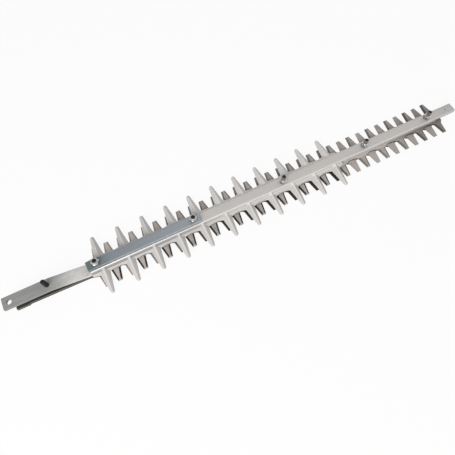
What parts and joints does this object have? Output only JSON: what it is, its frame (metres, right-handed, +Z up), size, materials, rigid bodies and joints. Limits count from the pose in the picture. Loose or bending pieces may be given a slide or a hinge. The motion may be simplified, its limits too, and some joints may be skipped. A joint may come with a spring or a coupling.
{
  "type": "hedge trimmer blade",
  "caption": "Double-sided hedge trimmer blade: toothed blades slide along guide bushes under a cranked support bar with a cast finger guard.",
  "frame": {"origin": "centre of the shank hole, on the shank's top face where the gear case seats", "axes": "+X along the blade from the shank hole to the tip, +Z up out of the shank's top face, +Y across"},
  "size_m": [0.5955, 0.072, 0.0302],
  "materials": {
    "bright_steel": "brushed strip steel",
    "black_steel": "black oxide",
    "cast_aluminium": "as cast, dull",
    "zinc_steel": "blue zinc plate",
    "blade_steel": "rolled face, ground edges",
    "nut_zinc": "bright zinc plate"
  },
  "bodies": {
    "frame": {"support_bar": "bright_steel", "locating_pin": "black_steel", "finger_guard": "cast_aluminium", "backing_strip": "zinc_steel", "guide_bolt_1": "black_steel", "guide_bolt_2": "black_steel", "guide_bolt_3": "black_steel", "guide_bolt_4": "black_steel", "guide_bolt_5": "black_steel", "guide_bush_1": "bright_steel", "guide_bush_2": "bright_steel", "guide_bush_3": "bright_steel", "guide_bush_4": "bright_steel", "guide_bush_5": "bright_steel", "lock_nut_1": "nut_zinc", "lock_nut_2": "nut_zinc", "lock_nut_3": "nut_zinc", "lock_nut_4": "nut_zinc", "lock_nut_5": "nut_zinc"},
    "upper_cutter": {"upper_blade": "blade_steel"},
    "lower_cutter": {"lower_blade": "blade_steel"}
  },
  "joints": [
    {"name": "upper_slide", "type": "slide", "parent": "frame", "child": "upper_cutter", "axis": [1, 0, 0], "range_m": [-0.0145, 0]},
    {"name": "lower_slide", "type": "slide", "parent": "frame", "child": "lower_cutter", "axis": [1, 0, 0], "range_m": [0, 0.0145]}
  ]
}
